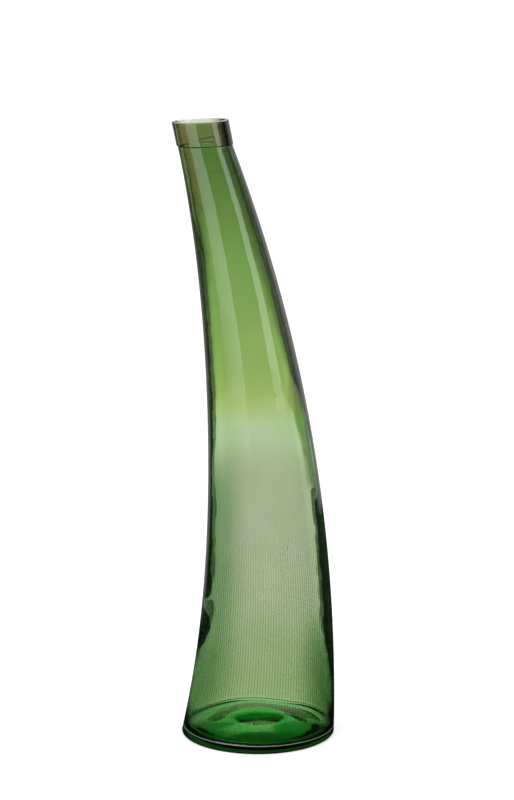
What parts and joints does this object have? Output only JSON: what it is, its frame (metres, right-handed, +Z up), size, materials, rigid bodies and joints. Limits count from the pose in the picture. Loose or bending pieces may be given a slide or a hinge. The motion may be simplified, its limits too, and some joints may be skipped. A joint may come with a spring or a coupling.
{
  "type": "tall curved glass vase",
  "caption": "Tall vase of blown green glass: a bottle that sways to one side, with a thick pushed-up foot, finely ribbed lower body and a ring of glass at the mouth.",
  "frame": {"origin": "centre of the round foot on the surface that the vase stands on", "axes": "+Z up, -X towards the side that the neck sways to, +Y towards the back as pictured"},
  "size_m": [0.196, 0.1878, 0.7524],
  "materials": {
    "foot_glass": "glossy, deep green where the glass is thick",
    "body_glass": "glossy, fire polished, faint ribs low down",
    "collar_glass": "glossy, fire polished"
  },
  "bodies": {
    "root": {"heavy_foot": "foot_glass", "blown_wall": "body_glass", "mouth_collar": "collar_glass"}
  },
  "joints": []
}
